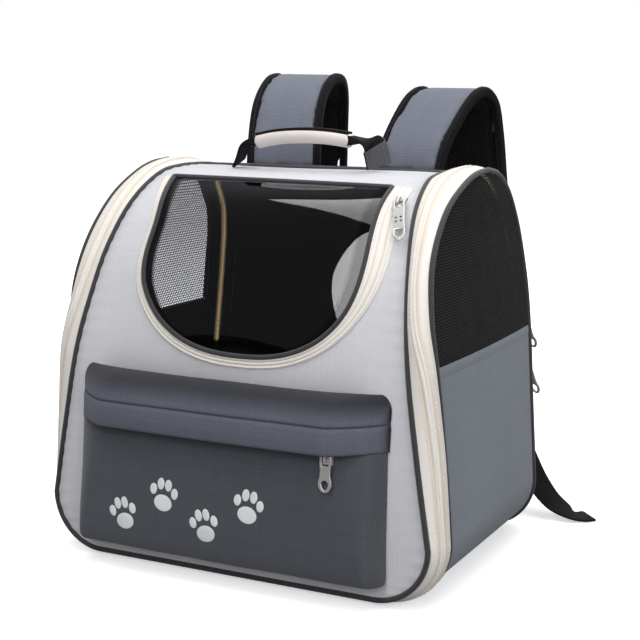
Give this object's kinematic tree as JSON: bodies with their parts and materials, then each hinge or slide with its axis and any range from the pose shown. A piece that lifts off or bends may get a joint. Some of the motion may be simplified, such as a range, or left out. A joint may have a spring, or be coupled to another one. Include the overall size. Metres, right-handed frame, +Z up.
{
  "type": "pet carrier backpack",
  "caption": "Soft carrier worn as a backpack: zipped cloth cabin with a domed clear window in the leaning front, net sides, hooded front pocket, grab handle and padded straps.",
  "frame": {"origin": "on the floor under the middle of the body, half way between the front panel's foot and the back", "axes": "+Z up, -Y out of the front with the window and pocket, +Y towards the wearer, +X to the viewer's right from the front"},
  "size_m": [0.4136, 0.3457, 0.3744],
  "materials": {
    "light_cloth": "woven, fine streaks",
    "cream_tape": "woven tape",
    "zip_coil": "satin",
    "dark_piping": "woven",
    "slate_cloth": "woven",
    "flap_cloth": "woven",
    "side_cloth": "woven",
    "black_net": "open net",
    "black_cloth": "woven",
    "strap_cloth": "woven, padded",
    "grip_plastic": "satin",
    "grey_webbing": "webbing",
    "buckle": "satin",
    "pane": "clear gloss",
    "zip_metal": "satin plated"
  },
  "bodies": {
    "bag": {"front_panel": "light_cloth", "back_panel": "black_cloth", "panel_piping": "dark_piping", "back_piping": "dark_piping", "gusset_bottom_front": "cream_tape", "gusset_bottom_rear": "cream_tape", "bottom_panel": "side_cloth", "window_pane": "pane", "window_piping": "dark_piping", "window_zip": "cream_tape", "pocket_body": "slate_cloth", "pocket_zip": "black_cloth", "pocket_flap": "flap_cloth", "handle_grip": "grip_plastic", "gusset_front_right": "cream_tape", "gusset_zip_right": "zip_coil", "gusset_rear_right": "cream_tape", "side_panel_right": "side_cloth", "side_hem_right": "dark_piping", "side_mesh_right": "black_net", "side_piping_right": "dark_piping", "handle_webbing_right": "grey_webbing", "strap_pad_right": "strap_cloth", "strap_binding_outer_right": "black_cloth", "strap_binding_inner_right": "black_cloth", "strap_buckle_right": "buckle", "strap_webbing_right": "black_cloth", "strap_tail_right": "black_cloth", "gusset_front_left": "cream_tape", "gusset_zip_left": "zip_coil", "gusset_rear_left": "cream_tape", "side_panel_left": "side_cloth", "side_hem_left": "dark_piping", "side_mesh_left": "black_net", "side_piping_left": "dark_piping", "handle_webbing_left": "grey_webbing", "strap_pad_left": "strap_cloth", "strap_binding_outer_left": "black_cloth", "strap_binding_inner_left": "black_cloth", "strap_buckle_left": "buckle", "strap_webbing_left": "black_cloth", "strap_tail_left": "black_cloth", "window_zip_slider": "zip_metal", "pocket_zip_slider": "zip_metal", "gusset_zip_upper_right_slider": "zip_metal", "gusset_zip_upper_left_slider": "zip_metal", "gusset_zip_lower_right_slider": "zip_metal", "gusset_zip_lower_left_slider": "zip_metal"},
    "window_zip_pull": {"window_zip_pull": "zip_metal"},
    "pocket_zip_pull": {"pocket_zip_pull": "zip_metal"},
    "gusset_zip_upper_right_pull": {"gusset_zip_upper_right_pull": "zip_metal"},
    "gusset_zip_upper_left_pull": {"gusset_zip_upper_left_pull": "zip_metal"},
    "gusset_zip_lower_right_pull": {"gusset_zip_lower_right_pull": "zip_metal"},
    "gusset_zip_lower_left_pull": {"gusset_zip_lower_left_pull": "zip_metal"}
  },
  "joints": [
    {"name": "window_zip_swing", "type": "hinge", "parent": "bag", "child": "window_zip_pull", "pos_m": [0.1095, -0.05654, 0.28518], "axis": [-0.9563, -0.2156, -0.1975], "range_deg": [0, 150]},
    {"name": "pocket_zip_swing", "type": "hinge", "parent": "bag", "child": "pocket_zip_pull", "pos_m": [0.092, -0.13829, 0.11341], "axis": [-1, 0, 0], "range_deg": [0, 60]},
    {"name": "gusset_zip_upper_right_swing", "type": "hinge", "parent": "bag", "child": "gusset_zip_upper_right_pull", "pos_m": [0.14723, 0.11984, 0.17082], "axis": [0.9148, -0.3916, 0.0987], "range_deg": [-22, 118]},
    {"name": "gusset_zip_upper_left_swing", "type": "hinge", "parent": "bag", "child": "gusset_zip_upper_left_pull", "pos_m": [-0.14723, 0.11984, 0.17082], "axis": [0.9148, 0.3916, -0.0987], "range_deg": [-22, 118]},
    {"name": "gusset_zip_lower_right_swing", "type": "hinge", "parent": "bag", "child": "gusset_zip_lower_right_pull", "pos_m": [0.15115, 0.11891, 0.13243], "axis": [0.8902, -0.4447, 0.0988], "range_deg": [-22, 118]},
    {"name": "gusset_zip_lower_left_swing", "type": "hinge", "parent": "bag", "child": "gusset_zip_lower_left_pull", "pos_m": [-0.15115, 0.11891, 0.13243], "axis": [0.8902, 0.4447, -0.0988], "range_deg": [-22, 118]}
  ]
}
